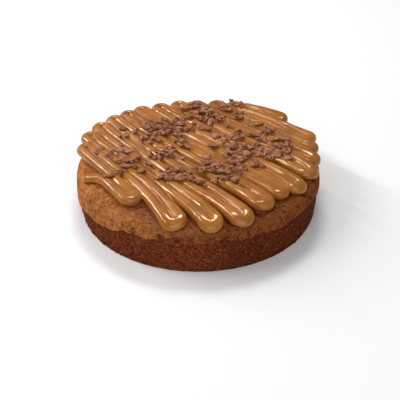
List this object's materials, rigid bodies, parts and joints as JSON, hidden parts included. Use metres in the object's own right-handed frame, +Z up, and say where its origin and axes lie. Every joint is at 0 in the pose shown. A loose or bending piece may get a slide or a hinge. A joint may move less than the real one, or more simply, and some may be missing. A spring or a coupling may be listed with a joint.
{
  "type": "sachertorte cake",
  "caption": "Round chocolate sponge cake with an icing rope piped to and fro over its top and chopped chocolate scattered on it.",
  "frame": {"origin": "middle of the flat underside of the sponge", "axes": "+Z up through the cake, -Y towards the front, where the icing's lobes reach the sponge's edge"},
  "size_m": [0.2055, 0.2038, 0.0509],
  "materials": {
    "chocolate_crumb": "open dark chocolate crumb below a paler baked crust at the top of the side",
    "caramel_icing": "glossy caramel coloured piped icing with fine ridges along the rope",
    "chopped_chocolate": "dull chopped milk chocolate, paler on its cut faces"
  },
  "bodies": {
    "root": {"sponge": "chocolate_crumb", "piped_icing": "caramel_icing"}
  },
  "joints": []
}
